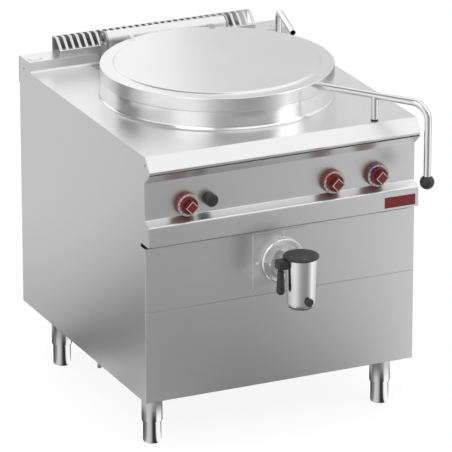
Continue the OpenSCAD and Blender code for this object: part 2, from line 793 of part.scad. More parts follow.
module badge_plate() {
    mid_z = fascia_low + badge_up;
    color("darkred") facing_front(badge_x, front_y - lip_reach, mid_z) linear_extrude(1)
        square([badge_w, badge_h], center = true);
}

module upper_front_panel() {
    line = [[front_y + panel_return, front_top_z], [front_y, front_top_z], [front_y, seam_z + seam_gap / 2],
            [front_y + panel_return, seam_z + seam_gap / 2]];
    color("silver") difference() {
        across(2 * inner_half) folded(line, sheet);
        facing_front(0, front_y + sheet + 1, tap_z) cylinder(h = sheet + 2, r = drain_r + 20);
    }
}

module lower_front_panel() {
    line = [[front_y + panel_return, seam_z - seam_gap / 2], [front_y, seam_z - seam_gap / 2], [front_y, leg_h]];
    color("silver") across(2 * inner_half) folded(line, sheet);
}

module leg_sleeves() {
    inner = foot_r + run_gap;
    color("silver") for (p = leg_places) translate([p[0], p[1], 0]) rotate_extrude()
        polygon([[inner, foot_show], [leg_r - 2, foot_show], [leg_r, foot_show + 5], [leg_r, leg_h], [8, leg_h],
                 [8, leg_h - 5], [inner, leg_h - 5]]);
}

// Adjustable foot, rounded below and hollow
module foot(i) {
    wall = 4;
    round_r = 6;
    top = foot_show + foot_in_sleeve;
    color("gainsboro") translate([leg_places[i][0], leg_places[i][1], 0]) rotate_extrude()
        polygon(concat([[0, 0]], arc([foot_r - round_r, round_r], round_r, -90, 0),
                       [[foot_r, top], [foot_r - wall, top], [foot_r - wall, wall + 2], [0, wall + 2]]));
}

module foot_front_left() foot(0);
module foot_front_right() foot(1);
module foot_rear_left() foot(2);
module foot_rear_right() foot(3);

// Upright bracket at each end of the hinge, with a foot on the worktop
module hinge_brackets() {
    depth = 34;
    foot_t = 3;
    color("silver") for (s = [-1, 1]) {
        difference() {
            across(bracket_t, s * (cover_half + bracket_t / 2)) union() {
                translate([hinge_y, hinge_z]) circle(r = cover_r + 2);
                translate([hinge_y - cover_r, worktop_z]) square([depth, hinge_up - cover_r * 0.4]);
            }
            translate([-half_w, hinge_y, hinge_z]) rotate([0, 90, 0])
                cylinder(h = 2 * half_w, r = axle_r + shaft_gap);
        }
        block([s * (cover_half + bracket_t + bracket_foot / 2) - bracket_foot / 2, hinge_y - cover_r, worktop_z],
              [s * (cover_half + bracket_t + bracket_foot / 2) + bracket_foot / 2,
               hinge_y - cover_r + depth, worktop_z + foot_t]);
    }
}

// Closed tube that turns on the axle with the lid
module hinge_cover() {
    half = cover_half - run_gap;
    cap_t = 3;
    color("gainsboro") translate([0, hinge_y, hinge_z]) rotate([0, 90, 0]) difference() {
        translate([0, 0, -half]) cylinder(h = 2 * half, r = cover_r);
        translate([0, 0, -half + cap_t]) cylinder(h = 2 * (half - cap_t), r = cover_r - sheet);
        translate([0, 0, -half - 1]) cylinder(h = 2 * half + 2, r = axle_r + shaft_gap);
    }
}

// Coil along X, swept round the axle
function coil_point(t, r, pitch) = [pitch * t / 360, r * cos(t), r * sin(t)];
module coil(r, wire, turns, pitch, steps = 12, sides = 6) {
    rings = turns * steps;
    points = [for (i = [0 : rings]) let (t = i * 360 / steps, c = coil_point(t, r, pitch), out = [0, cos(t), sin(t)])
        for (k = [0 : sides - 1]) let (a = k * 360 / sides) c + wire * (cos(a) * out + [sin(a), 0, 0])];
    faces = concat([[for (k = [0 : sides - 1]) k]],
                   [for (i = [0 : rings - 1]) for (k = [0 : sides - 1]) let (n = (k + 1) % sides)
                       [i * sides + k, (i + 1) * sides + k, (i + 1) * sides + n, i * sides + n]],
                   [[for (k = [sides - 1 : -1 : 0]) rings * sides + k]]);
    polyhedron(points, faces);
}

// Springs round the axle that balance the lid
module lid_springs() {
    pitch = 2 * wire_r + 0.6;
    coil_r = axle_r + wire_r + rest_gap;
    start = arm_x + arm_w / 2 + 4;
    color("dimgray") {
        translate([start, hinge_y, hinge_z]) coil(coil_r, wire_r, spring_turns, pitch);
        translate([-start - spring_turns * pitch, hinge_y, hinge_z]) coil(coil_r, wire_r, spring_turns, pitch);
    }
}

module lid_shell() {
    t = lid_sheet;
    top = lid_h;
    color("whitesmoke") translate([0, pan_y, lid_low_z]) rotate_extrude($fn = 128)
        polygon(concat([[0, top + crown_h], [crown_r - 2, top + crown_h], [crown_r, top + crown_h - 0.7],
                        [crown_r + crown_step * 0.7, top + 0.6], [crown_r + crown_step + 1, top],
                        [lid_r - 2, top], [lid_r - 0.6, top - 0.6], [lid_r, top - 2], [lid_r, 0], [lid_r - t, 0],
                        [lid_r - t, top - t], [crown_r + crown_step, top - t], [crown_r - 1, top + crown_h - t],
                        [0, top + crown_h - t]]));
}

// Inner skin of the lid, with a rim that drips into the pan
module lid_liner() {
    t = lid_sheet;
    drip_r = pan_r - 13;
    color("gainsboro") translate([0, pan_y, lid_low_z]) rotate_extrude($fn = 128)
        polygon([[0, 6], [drip_r - t, 6], [drip_r - t, -drip_h + 1], [drip_r, -drip_h + 1], [drip_r, 2],
                 [lid_r - t, 2], [lid_r - t, 2 + t], [drip_r, 2 + t], [drip_r, 6 + t], [0, 6 + t]]);
}

module lid_axle() {
    end = cover_half + bracket_t;
    color("gray") translate([-end, hinge_y, hinge_z]) rotate([0, 90, 0]) cylinder(h = 2 * end, r = axle_r);
}

// Arms with a rounded end, from the hinge tube to the lid's skirt
module lid_arms() {
    back_y = pan_y + sqrt(lid_r * lid_r - arm_x * arm_x);
    color("silver") for (x = [-arm_x, arm_x]) difference() {
        across(arm_w, x) hull() {
            translate([back_y + 3, lid_top_z + lug_up - lug_r]) circle(r = lug_r);
            translate([hinge_y - cover_r, hinge_z]) circle(r = arm_half);
        }
        translate([0, pan_y, lid_low_z - 20]) cylinder(h = lid_h + 60, r = lid_r, $fn = 128);
        translate([x - arm_w, hinge_y, hinge_z]) rotate([0, 90, 0]) cylinder(h = 2 * arm_w, r = cover_r);
    }
}

// The handle's own frame: its X axis runs out from the pan's axis
module from_pan() translate([0, pan_y, 0]) rotate(handle_angle) children();

module handle_path(r, start) {
    corner = handle_reach - bend_r;
    low = ball_z + ball_r / 2;
    translate([start, 0, handle_z]) rotate([0, 90, 0]) cylinder(h = corner - start, r = r);
    translate([corner, 0, handle_z - bend_r]) rotate([90, 0, 0])
        rotate_extrude(angle = 90) translate([bend_r, 0]) circle(r = r);
    translate([handle_reach, 0, low]) cylinder(h = handle_z - bend_r - low, r = r);
}

module handle_tube() {
    low = ball_z + ball_r / 2;
    color("gainsboro") from_pan() difference() {
        handle_path(tube_r, lid_r - 10);
        handle_path(tube_r - tube_wall, lid_r - 11);
        translate([handle_reach, 0, low - 1]) cylinder(h = 2, r = tube_r - tube_wall);
        translate([0, 0, handle_z - 20]) cylinder(h = 40, r = lid_r, $fn = 128);
    }
}

// Ring where the handle leaves the lid
module handle_collar() {
    color("gainsboro") from_pan() difference() {
        translate([lid_r - 10, 0, handle_z]) rotate([0, 90, 0]) cylinder(h = 14, r = tube_r + 3);
        translate([0, 0, handle_z - 20]) cylinder(h = 40, r = lid_r, $fn = 720);
        translate([lid_r - 20, 0, handle_z]) rotate([0, 90, 0]) cylinder(h = 40, r = tube_r);
    }
}

module handle_ball() {
    color("black") from_pan() translate([handle_reach, 0, ball_z]) difference() {
        sphere(r = ball_r);
        translate([0, 0, ball_r / 2]) cylinder(h = ball_r, r = tube_r);
    }
}

module handle_strut() {
    low = worktop_z + rest_gap + strut_foot_h - 3;
    color("gainsboro") from_pan() difference() {
        translate([strut_reach, 0, low]) cylinder(h = handle_z - low, r = tube_r);
        translate([strut_reach, 0, low - 1]) cylinder(h = handle_z - low - tube_r - 4, r = tube_r - tube_wall);
        translate([strut_reach - 40, 0, handle_z]) rotate([0, 90, 0]) cylinder(h = 80, r = tube_r);
    }
}

// Rubber foot pushed into the strut
module strut_foot() {
    low = worktop_z + rest_gap;
    color("black") from_pan() translate([strut_reach, 0, low]) rotate_extrude()
        polygon([[0, 0], [tube_r - 1, 0], [tube_r, 1], [tube_r, strut_foot_h - 3], [tube_r - tube_wall, strut_foot_h - 3],
                 [tube_r - tube_wall, strut_foot_h + 6], [0, strut_foot_h + 6]]);
}

module tap_plate() {
    x = plate_w / 2 - plate_corner;
    z = plate_h / 2 - plate_corner;
    color("silver") facing_front(0, front_y, tap_z) difference() {
        linear_extrude(plate_t) union() {
            square([plate_w, 2 * z], center = true);
            square([2 * x, plate_h], center = true);
            for (i = [-x, x]) for (j = [-z, z]) translate([i, j]) circle(r = plate_corner, $fn = 32);
        }
        translate([0, 0, -1]) cylinder(h = plate_t + 2, r = drain_r + run_gap);
    }
}

module tap_plate_studs() {
    color("silver") facing_front(0, front_y - plate_t, tap_z)
        for (a = [0 : 90 : 270]) rotate(a) translate([stud_reach, 0, 0]) {
            cylinder(h = 2, r = 6);
            translate([0, 0, 2]) cylinder(h = 3, r1 = 4.5, r2 = 3.5);
        }
}

// Round rosette with a raised rim
module tap_rosette() {
    rim = 5;
    color("gainsboro") facing_front(0, front_y - plate_t, tap_z) rotate_extrude()
        polygon([[drain_r + run_gap, 0], [rosette_r, 0], [rosette_r, rosette_t - 3], [rosette_r - 3, rosette_t],
                 [rosette_r - rim, rosette_t], [rosette_r - rim - 3, rosette_t - rosette_dish],
                 [drain_r + run_gap, rosette_t - rosette_dish]]);
}

module tap_nut() {
    color("silver") facing_front(0, front_y - plate_t - rosette_t + rosette_dish, tap_z) difference() {
        intersection() {
            cylinder(h = nut_t, r = nut_r, $fn = 6);
            cylinder(h = nut_t, r1 = nut_r + nut_t * 0.6, r2 = nut_r - 3);
        }
        translate([0, 0, -1]) cylinder(h = nut_t + 2, r = drain_r + run_gap);
    }
}

// Pipe from the pan to the tap
module drain_pipe() {
    len = pan_y - nut_face_y;
    color("silver") difference() {
        facing_front(0, pan_y, tap_z) difference() {
            cylinder(h = len, r = drain_r);
            cylinder(h = len + 1, r = drain_bore_r);
        }
        translate([0, pan_y, 0]) cylinder(h = worktop_z, r = pan_r + pan_t, $fn = 128);
    }
}

// Tapered body of the tap, with the chamber for the plug
module tap_body() {
    foot = 8;
    color("silver") difference() {
        union() {
            translate([0, tap_y, 0]) rotate_extrude($fn = 96)
                polygon(concat([[0, cup_low_z]], arc([cup_low_r - foot, cup_low_z + foot], foot, -90, 0, 5),
                               [[cup_top_r, cup_top_z], [0, cup_top_z]]));
            translate([0, nut_face_y, tap_z]) rotate([90, 0, 0]) cylinder(h = nut_face_y - tap_y, r = drain_r);
        }
        translate([0, tap_y, plug_low_z - run_gap]) cylinder(h = cup_top_z, r = plug_body_r + shaft_gap);
        translate([0, tap_y, cup_low_z - 1]) cylinder(h = cup_down, r = outlet_r);
        translate([0, nut_face_y + 1, tap_z]) rotate([90, 0, 0]) cylinder(h = nut_face_y - tap_y, r = drain_bore_r);
        translate([0, tap_y, tap_z - lock_down]) rotate([0, 90, lock_angle]) cylinder(h = 60, r = 4 + shaft_gap);
    }
}

// Dark ring round the outlet, with a short lip
module outlet_ring() {
    color("dimgray") translate([0, tap_y, cup_low_z - outlet_ring_h]) rotate_extrude()
        polygon([[outlet_r, 0], [outlet_ring_r - 3, 0], [outlet_ring_r, 1.5], [outlet_ring_r - 1, outlet_ring_h],
                 [outlet_r, outlet_ring_h]]);
}

module tap_cap() {
    color("black") translate([0, tap_y, cap_low_z]) rotate_extrude()
        polygon([[0, 0], [cap_r - 2, 0], [cap_r, 1.5], [cap_r, cap_h - 5], [cap_r - 1.5, cap_h - 2.5],
                 [cap_r - 6, cap_h - 1.2], [cap_r - 20, cap_h - 0.4], [0, cap_h]]);
}

// Block under the cap's edge, and the grip that hangs from it
module tap_lever() {
    block_w = 30;
    block_h = 23;
    neck_h = 3;
    top = cap_low_z - block_h - neck_h;
    inner = cup_top_r + 1;
    color("black") translate([0, tap_y, 0]) {
        difference() {
            block([-lever_reach - 10, -block_w / 2, cap_low_z - block_h], [-inner + 8, block_w / 2, cap_low_z]);
            cylinder(h = worktop_z, r = inner);
        }
        translate([-lever_reach, 0, 0]) {
            translate([0, 0, top - 1]) cylinder(h = neck_h + 2, r = lever_top_r - 3);
            translate([0, 0, top - lever_len]) rotate_extrude()
                polygon(concat([[0, 0]], arc([0, lever_r], lever_r, -84, 0),
                               [[lever_top_r, lever_len - 4], [lever_top_r - 3, lever_len], [0, lever_len]]));
        }
    }
}

// Plug with an angled way: in from the side, out below
module tap_plug() {
    len = plug_top_z - plug_low_z;
    color("silver") translate([0, tap_y, plug_low_z]) difference() {
        union() {
            cylinder(h = len, r = plug_body_r);
            translate([0, 0, len - 1]) cylinder(h = cap_low_z - plug_top_z + 1, r = 12);
        }
        translate([0, 0, -1]) cylinder(h = tap_z - plug_low_z + 16, r = 16);
        translate([0, 0, tap_z - plug_low_z]) rotate([0, 90, 0]) cylinder(h = 50, r = 15);
    }
}

module lock_screw() {
    color("black") translate([0, tap_y, tap_z - lock_down]) rotate([0, 90, lock_angle]) {
        translate([0, 0, outlet_r + 1]) cylinder(h = lock_reach - 10 - outlet_r, r = 4);
        translate([0, 0, lock_reach - 9]) cylinder(h = 7, r = lock_r);
        translate([0, 0, lock_reach - 2]) cylinder(h = 2, r1 = lock_r, r2 = lock_r - 1.5);
    }
}

module spout_base() {
    bore = spout_r + shaft_gap;
    color("silver") translate([spout_x, spout_y, worktop_z]) {
        rotate_extrude() polygon([[bore, 0], [19, 0], [19, 2], [16, 4], [bore, 4]]);
        difference() {
            translate([0, 0, 3.5]) cylinder(h = 10, r = 16, $fn = 6);
            translate([0, 0, 3]) cylinder(h = 12, r = bore);
        }
    }
}

// Riser, quarter bend and run of the spout
module spout_path(r, extra = 0) {
    riser = spout_up - spout_bend_r;
    run = spout_len - spout_bend_r;
    tilt = atan(spout_fall / run);
    translate([0, 0, 1 - extra]) cylinder(h = riser - 1 + extra, r = r);
    translate([spout_bend_r, 0, riser]) rotate([90, 0, 180])
        rotate_extrude(angle = 90) translate([spout_bend_r, 0]) circle(r = r);
    translate([spout_bend_r, 0, spout_up]) {
        sphere(r = r);
        rotate([0, 90 + tilt, 0]) cylinder(h = run / cos(tilt) + extra, r = r);
    }
}

module spout_tube() {
    color("silver") translate([spout_x, spout_y, worktop_z]) rotate(spout_angle) difference() {
        spout_path(spout_r);
        spout_path(spout_r - spout_wall, 2);
    }
}

// Knob: skirt, round body and a square grip turned on its corner, on its spindle
module knob(x) {
    seat = 1;
    back = panel_y - seat;
    color("maroon") {
        facing_front(x, back, knob_z) {
            rotate_extrude() polygon([[0, 0], [skirt_r - 1, 0], [skirt_r, 2], [skirt_r - 1.5, skirt_h], [0, skirt_h]]);
            translate([0, 0, skirt_h - 1]) cylinder(h = knob_h + 1, r1 = knob_r, r2 = knob_r - 1);
            translate([0, 0, skirt_h + 1]) intersection() {
                rotate(45) linear_extrude(grip_h - 1) square(grip_side, center = true);
                cylinder(h = grip_h - 1, r = knob_r - 4.5);
            }
        }
        facing_front(x, panel_y + 24, knob_z) cylinder(h = 26, r = spindle_r);
    }
}

module gas_knob() knob(gas_knob_x);
module hot_knob() knob(hot_knob_x);
module cold_knob() knob(cold_knob_x);

module igniter_bush() {
    color("black") facing_front(igniter_x, panel_y, igniter_z) rotate_extrude()
        polygon([[0, 0], [igniter_r - 1, 0], [igniter_r - 1, 0.8], [igniter_r - 3 - run_gap, 0.8],
                 [igniter_r - 3 - run_gap, igniter_h - 5 - igniter_travel], [0, igniter_h - 5 - igniter_travel]]);
}

// Button that slides over its bush
module igniter_button() {
    low = igniter_travel + 1;
    color("black") facing_front(igniter_x, panel_y, igniter_z) rotate_extrude()
        polygon([[igniter_r - 3, low], [igniter_r, low], [igniter_r, igniter_h - 3], [igniter_r - 3, igniter_h],
                 [0, igniter_h + 0.6], [0, igniter_h - 4.7], [igniter_r - 3, igniter_h - 4.7]]);
}

side_panel_left();
side_panel_right();
rear_panel();
base_frame();
worktop();
upstand_plugs();
rear_spacer();
collar();
pan_wall();
pan_floor();
fire_chamber();
chamber_posts();
insulation();
flue_duct();
flue_grille();
burner();
gas_valve();
gas_pipes();
water_valves();
water_pipes();
fascia();
badge_plate();
upper_front_panel();
lower_front_panel();
leg_sleeves();
foot_front_left();
foot_front_right();
foot_rear_left();
foot_rear_right();
hinge_brackets();
hinge_cover();
lid_springs();
lid_shell();
lid_liner();
lid_axle();
lid_arms();
handle_tube();
handle_collar();
handle_ball();
handle_strut();
strut_foot();
tap_plate();
tap_plate_studs();
tap_rosette();
tap_nut();
drain_pipe();
tap_body();
outlet_ring();
tap_cap();
tap_lever();
tap_plug();
lock_screw();
spout_base();
spout_tube();
gas_knob();
hot_knob();
cold_knob();
igniter_bush();
igniter_button();
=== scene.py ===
# Looks of the gas boiling pan: finishes for every part of the frame, small trim, floor, light and camera.
import json
import math

import bpy
import numpy as np
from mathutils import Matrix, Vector


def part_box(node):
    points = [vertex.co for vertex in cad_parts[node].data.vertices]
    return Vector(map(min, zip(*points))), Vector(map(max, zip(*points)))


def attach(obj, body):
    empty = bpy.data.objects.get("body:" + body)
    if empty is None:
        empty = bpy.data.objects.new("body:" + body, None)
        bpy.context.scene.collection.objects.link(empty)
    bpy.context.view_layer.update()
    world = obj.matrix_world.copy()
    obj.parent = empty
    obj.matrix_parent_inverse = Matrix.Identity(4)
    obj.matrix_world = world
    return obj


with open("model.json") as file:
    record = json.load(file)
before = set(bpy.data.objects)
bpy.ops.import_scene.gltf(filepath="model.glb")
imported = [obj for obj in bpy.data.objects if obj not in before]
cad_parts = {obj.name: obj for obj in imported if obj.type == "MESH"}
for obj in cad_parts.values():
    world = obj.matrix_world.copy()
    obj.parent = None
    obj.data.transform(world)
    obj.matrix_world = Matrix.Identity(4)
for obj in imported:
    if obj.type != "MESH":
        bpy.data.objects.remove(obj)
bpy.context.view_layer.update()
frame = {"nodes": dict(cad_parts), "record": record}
nodes = frame["nodes"]
print("frame loaded:", len(nodes), "nodes")


# Places that several pieces share, all read from the frame
def middle(name):
    low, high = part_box(name)
    return (low + high) / 2


panAxis = middle("lid_shell")
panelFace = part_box("igniter_bush")[1].y


# A socket that takes part in plain arithmetic
class Wire:
    def __init__(self, tree, socket=None):
        self.tree = tree
        self.socket = socket

    # Adds any node: its settings first, then the values or links of its sockets
    def node(self, kind, settings=None, inputs=None, output=0):
        made = self.tree.nodes.new(kind)
        for name, value in (settings or {}).items():
            if name == "stops":
                setStops(made.color_ramp, value)
            else:
                setattr(made, name, value)
        for key, value in (inputs or {}).items():
            if isinstance(value, Wire):
                self.tree.links.new(value.socket, made.inputs[key])
            else:
                made.inputs[key].default_value = value
        return Wire(self.tree, made.outputs[output])

    def math(self, operation, *values):
        return self.node("ShaderNodeMath", {"operation": operation}, dict(enumerate(values)))

    def vector(self, operation, *values, output=0):
        return self.node("ShaderNodeVectorMath", {"operation": operation}, dict(enumerate(values)), output)

    def part(self, axis):
        return self.node("ShaderNodeSeparateXYZ", None, {0: self}, axis)

    # From one colour to another by a factor
    def blend(self, first, second):
        return self.node("ShaderNodeMix", {"data_type": "RGBA"}, {0: self, 6: first, 7: second}, 2)

    def noise(self, scale, detail, **more):
        inputs = {"Vector": self, "Scale": scale, "Detail": detail, **more}
        return self.node("ShaderNodeTexNoise", None, inputs)

    def bump(self, strength, depth, **more):
        inputs = {"Strength": strength, "Distance": depth, "Height": self, **more}
        return self.node("ShaderNodeBump", None, inputs)

    # A normal whose edges look rounded by a radius
    def rounded(self, radius):
        return self.node("ShaderNodeBevel", {"samples": 4}, {"Radius": radius})

    def rising(self, low, high, first=0.0, second=1.0):
        return self.node("ShaderNodeMapRange", {"interpolation_type": "SMOOTHSTEP"},
                         {0: self, 1: low, 2: high, 3: first, 4: second})

    def __add__(self, other):
        return self.math("ADD", self, other)

    def __sub__(self, other):
        return self.math("SUBTRACT", self, other)

    def __mul__(self, other):
        return self.math("MULTIPLY", self, other)

    def __truediv__(self, other):
        return self.math("DIVIDE", self, other)

    def __radd__(self, other):
        return self.math("ADD", other, self)

    def __rsub__(self, other):
        return self.math("SUBTRACT", other, self)

    def __rmul__(self, other):
        return self.math("MULTIPLY", other, self)


def setStops(ramp, stops):
    while len(ramp.elements) > 1:
        ramp.elements.remove(ramp.elements[-1])
    for index, (place, value) in enumerate(stops):
        element = ramp.elements[0] if index == 0 else ramp.elements.new(place)
        element.position = place
        element.color = (value, value, value, 1) if isinstance(value, (int, float)) else (*value, 1)


def grey(value):
    return (value, value, value, 1)


def tint(red, green, blue):
    return (red, green, blue, 1)


# A material with its shader; the constants are set on the shader's own sockets
def newMaterial(name, constants):
    material = bpy.data.materials.new(name)
    material.use_nodes = True
    tree = material.node_tree
    tree.nodes.clear()
    output = tree.nodes.new("ShaderNodeOutputMaterial")
    shader = tree.nodes.new("ShaderNodeBsdfPrincipled")
    tree.links.new(shader.outputs[0], output.inputs[0])
    for key, value in constants.items():
        shader.inputs[key].default_value = value
    return material, tree, shader


def feed(tree, shader, **sockets):
    for key, wire in sockets.items():
        tree.links.new(wire.socket, shader.inputs[key.replace("_", " ")])


# What all brushed steels share: the fineness of the brushing, its depth, and soft clouds over it
brushing = {"detail": 3.0, "fineness": 0.6, "depth": 0.0001, "grainRough": 0.12, "cloudScale": 3.2,
            "cloudDetail": 2.0, "cloudShade": 0.05, "cloudRough": 0.08, "index": 2.2}


# Brushing along straight lines: noise that is long along the grain and short across it
def straightGrain(place, scale):
    stretched = place.vector("MULTIPLY", place, scale)
    return stretched.noise(1.0, brushing["detail"], Roughness=brushing["fineness"])


# Brushing in rings round an upright axis: noise that changes slowly with the direction from the axis, and
# quickly with radius plus height
def ringGrain(place, centre, around, across):
    arm = place.vector("MULTIPLY", place.vector("SUBTRACT", place, centre), (1, 1, 0))
    radius = place.vector("LENGTH", arm, output=1)
    unit = place.vector("NORMALIZE", arm)
    way = place.node("ShaderNodeVectorMath", {"operation": "SCALE"}, {0: unit, 3: around})
    ring = (radius + place.part(2)) * across
    point = place.node("ShaderNodeCombineXYZ", None, {0: way.part(0), 1: way.part(1), 2: ring})
    return point.noise(1.0, brushing["detail"], Roughness=brushing["fineness"])


# Steel sheet: grey that the grain lightens and darkens, soft clouds in the roughness, and softened edges
def steel(name, look):
    material, tree, shader = newMaterial(name, {"Metallic": look["metallic"], "IOR": brushing["index"]})
    place = Wire(tree).node("ShaderNodeTexCoord", output=3)
    if "centre" in look:
        grain = ringGrain(place, look["centre"], look["around"], look["across"])
    else:
        grain = straightGrain(place, look["grain"])
    clouds = place.noise(brushing["cloudScale"], brushing["cloudDetail"])
    shade = (grain - 0.5) * look["contrast"] + 1.0 + (clouds - 0.5) * brushing["cloudShade"]
    even = place.node("ShaderNodeCombineXYZ", None, {0: shade, 1: shade, 2: shade})
    colour = place.vector("MULTIPLY", look["tint"], even)
    roughness = (look["roughness"] + (grain - 0.5) * brushing["grainRough"]
                 + (clouds - 0.5) * brushing["cloudRough"])
    bump = grain.bump(look["bump"], brushing["depth"], Normal=place.rounded(look["edge"]))
    feed(tree, shader, Base_Color=colour, Roughness=roughness, Normal=bump)
    return material


moulding = {"grainScale": 1400.0, "cloudScale": 40.0, "detail": 2.0, "cloudShare": 0.7, "edge": 0.0008,
            "depth": 0.0002, "grainRough": 0.15, "coatRoughness": 0.25, "index": 1.5}


# Moulded plastic or rubber: nearly one colour, with a fine spark-eroded grain
def moulded(name, look):
    material, tree, shader = newMaterial(name, {"Coat Weight": look["coat"], "IOR": moulding["index"],
                                                "Coat Roughness": moulding["coatRoughness"]})
    place = Wire(tree).node("ShaderNodeTexCoord", output=3)
    grain = place.noise(moulding["grainScale"], moulding["detail"])
    clouds = place.noise(moulding["cloudScale"], moulding["detail"])
    mixed = clouds * moulding["cloudShare"] + grain * (1 - moulding["cloudShare"])
    roughness = look["roughness"] + (grain - 0.5) * moulding["grainRough"]
    bump = grain.bump(look["bump"], moulding["depth"], Normal=place.rounded(moulding["edge"]))
    feed(tree, shader, Base_Color=mixed.blend(look["dark"], look["light"]), Roughness=roughness, Normal=bump)
    return material


casting = {"mottleDetail": 5.0, "low": 0.3, "high": 0.7, "skinScale": 900.0, "skinDetail": 2.0, "bump": 0.35,
           "depth": 0.0003, "mottleRough": 0.2}


# Cast, drawn or sooty metal: a mottled colour with a grainy skin
def roughMetal(name, look):
    material, tree, shader = newMaterial(name, {"Metallic": look["metallic"]})
    place = Wire(tree).node("ShaderNodeTexCoord", output=3)
    mottle = place.noise(look["mottle"], casting["mottleDetail"])
    skin = place.noise(casting["skinScale"], casting["skinDetail"])
    colour = mottle.rising(casting["low"], casting["high"]).blend(look["dark"], look["light"])
    roughness = look["roughness"] + (mottle - 0.5) * casting["mottleRough"]
    feed(tree, shader, Base_Color=colour, Roughness=roughness,
         Normal=(skin + mottle).bump(casting["bump"], casting["depth"]))
    return material


# Mineral wool: a matted felt of pale fibres
def wool(name, look):
    constants = {"Roughness": look["roughness"], "Sheen Weight": look["sheen"]}
    material, tree, shader = newMaterial(name, constants)
    place = Wire(tree).node("ShaderNodeTexCoord", output=3)
    fibres = place.noise(look["fibreScale"], look["fibreDetail"], Distortion=look["tangle"])
    lumps = place.noise(look["lumpScale"], look["lumpDetail"])
    felt = fibres * look["fibreShare"] + lumps * (1 - look["fibreShare"])
    colour = felt.rising(look["low"], look["high"]).blend(look["dark"], look["light"])
    feed(tree, shader, Base_Color=colour, Normal=(fibres + lumps).bump(look["bump"], look["depth"]))
    return material


panelLook = {"tint": (0.82, 0.82, 0.82), "metallic": 0.94, "roughness": 0.31, "grain": (9, 9, 900),
             "contrast": 0.07, "bump": 0.10, "edge": 0.0012}
topLook = {**panelLook, "tint": (0.80, 0.80, 0.80), "roughness": 0.32, "grain": (9, 900, 900)}
lidLook = {"tint": (0.82, 0.82, 0.82), "metallic": 0.92, "roughness": 0.25,
           "centre": (panAxis.x, panAxis.y, 0), "around": 3.0, "across": 900.0, "contrast": 0.05,
           "bump": 0.08, "edge": 0.0012}
collarLook = {**lidLook, "tint": (0.86, 0.86, 0.86), "metallic": 1.0, "roughness": 0.16, "contrast": 0.10}
panLook = {**lidLook, "tint": (0.72, 0.72, 0.72), "roughness": 0.28}
polishedLook = {"tint": (0.80, 0.80, 0.80), "metallic": 1.0, "roughness": 0.13, "grain": (60, 60, 700),
                "contrast": 0.05, "bump": 0.05, "edge": 0.0008}
brushedLook = {**polishedLook, "tint": (0.80, 0.80, 0.80), "roughness": 0.27}
grilleLook = {**topLook, "tint": (0.70, 0.70, 0.70)}
# The hinge brackets wear the panel steel darkened: painted shade for the dark that they reflect
shadedBracketLook = {**panelLook, "tint": (0.46, 0.46, 0.46), "roughness": 0.36}
frameLook = {**panelLook, "tint": (0.5, 0.5, 0.5), "roughness": 0.42}
springLook = {"dark": tint(0.16, 0.16, 0.17), "light": tint(0.34, 0.34, 0.36), "metallic": 1.0,
              "mottle": 90.0, "roughness": 0.35}
brassLook = {"dark": tint(0.45, 0.32, 0.12), "light": tint(0.70, 0.53, 0.24), "metallic": 1.0,
             "mottle": 60.0, "roughness": 0.32}
pipeLook = {"dark": tint(0.40, 0.37, 0.34), "light": tint(0.62, 0.59, 0.55), "metallic": 1.0,
            "mottle": 30.0, "roughness": 0.33}
burnerLook = {"dark": tint(0.05, 0.05, 0.055), "light": tint(0.22, 0.21, 0.21), "metallic": 0.9,
              "mottle": 40.0, "roughness": 0.5}
spacerLook = {"dark": tint(0.12, 0.12, 0.125), "light": tint(0.16, 0.16, 0.165), "metallic": 0.3,
              "mottle": 60.0, "roughness": 0.45}
woolLook = {"dark": tint(0.45, 0.38, 0.22), "light": tint(0.82, 0.76, 0.58), "roughness": 0.95, "sheen": 0.3,
            "fibreScale": 260.0, "fibreDetail": 6.0, "tangle": 2.5, "fibreShare": 0.6, "lumpScale": 28.0,
            "lumpDetail": 3.0, "low": 0.3, "high": 0.7, "bump": 0.8, "depth": 0.002}
redLook = {"dark": tint(0.115, 0.006, 0.006), "light": tint(0.165, 0.012, 0.011),
           "roughness": 0.38, "coat": 0.25, "bump": 0.15}
badgeLook = {"dark": tint(0.15, 0.001, 0.003), "light": tint(0.20, 0.002, 0.006),
             "roughness": 0.4, "coat": 0.15, "bump": 0.05}
blackLook = {"dark": tint(0.016, 0.016, 0.016), "light": tint(0.032, 0.032, 0.032),
             "roughness": 0.42, "coat": 0.1, "bump": 0.3}
rubberLook = {**blackLook, "roughness": 0.7, "coat": 0.0}
inkLook = {**blackLook, "dark": tint(0.03, 0.03, 0.03), "light": tint(0.05, 0.05, 0.05)}
dialLook = {"dark": tint(0.44, 0.41, 0.40), "light": tint(0.56, 0.53, 0.51),
            "roughness": 0.35, "coat": 0.2, "bump": 0.08}
paleLook = {"dark": tint(0.80, 0.80, 0.79), "light": tint(0.88, 0.88, 0.87),
            "roughness": 0.4, "coat": 0.1, "bump": 0.05}
redInkLook = {"dark": tint(0.60, 0.02, 0.02), "light": tint(0.70, 0.03, 0.03),
              "roughness": 0.4, "coat": 0.1, "bump": 0.05}
blueInkLook = {"dark": tint(0.02, 0.02, 0.45), "light": tint(0.03, 0.03, 0.58),
               "roughness": 0.4, "coat": 0.1, "bump": 0.05}

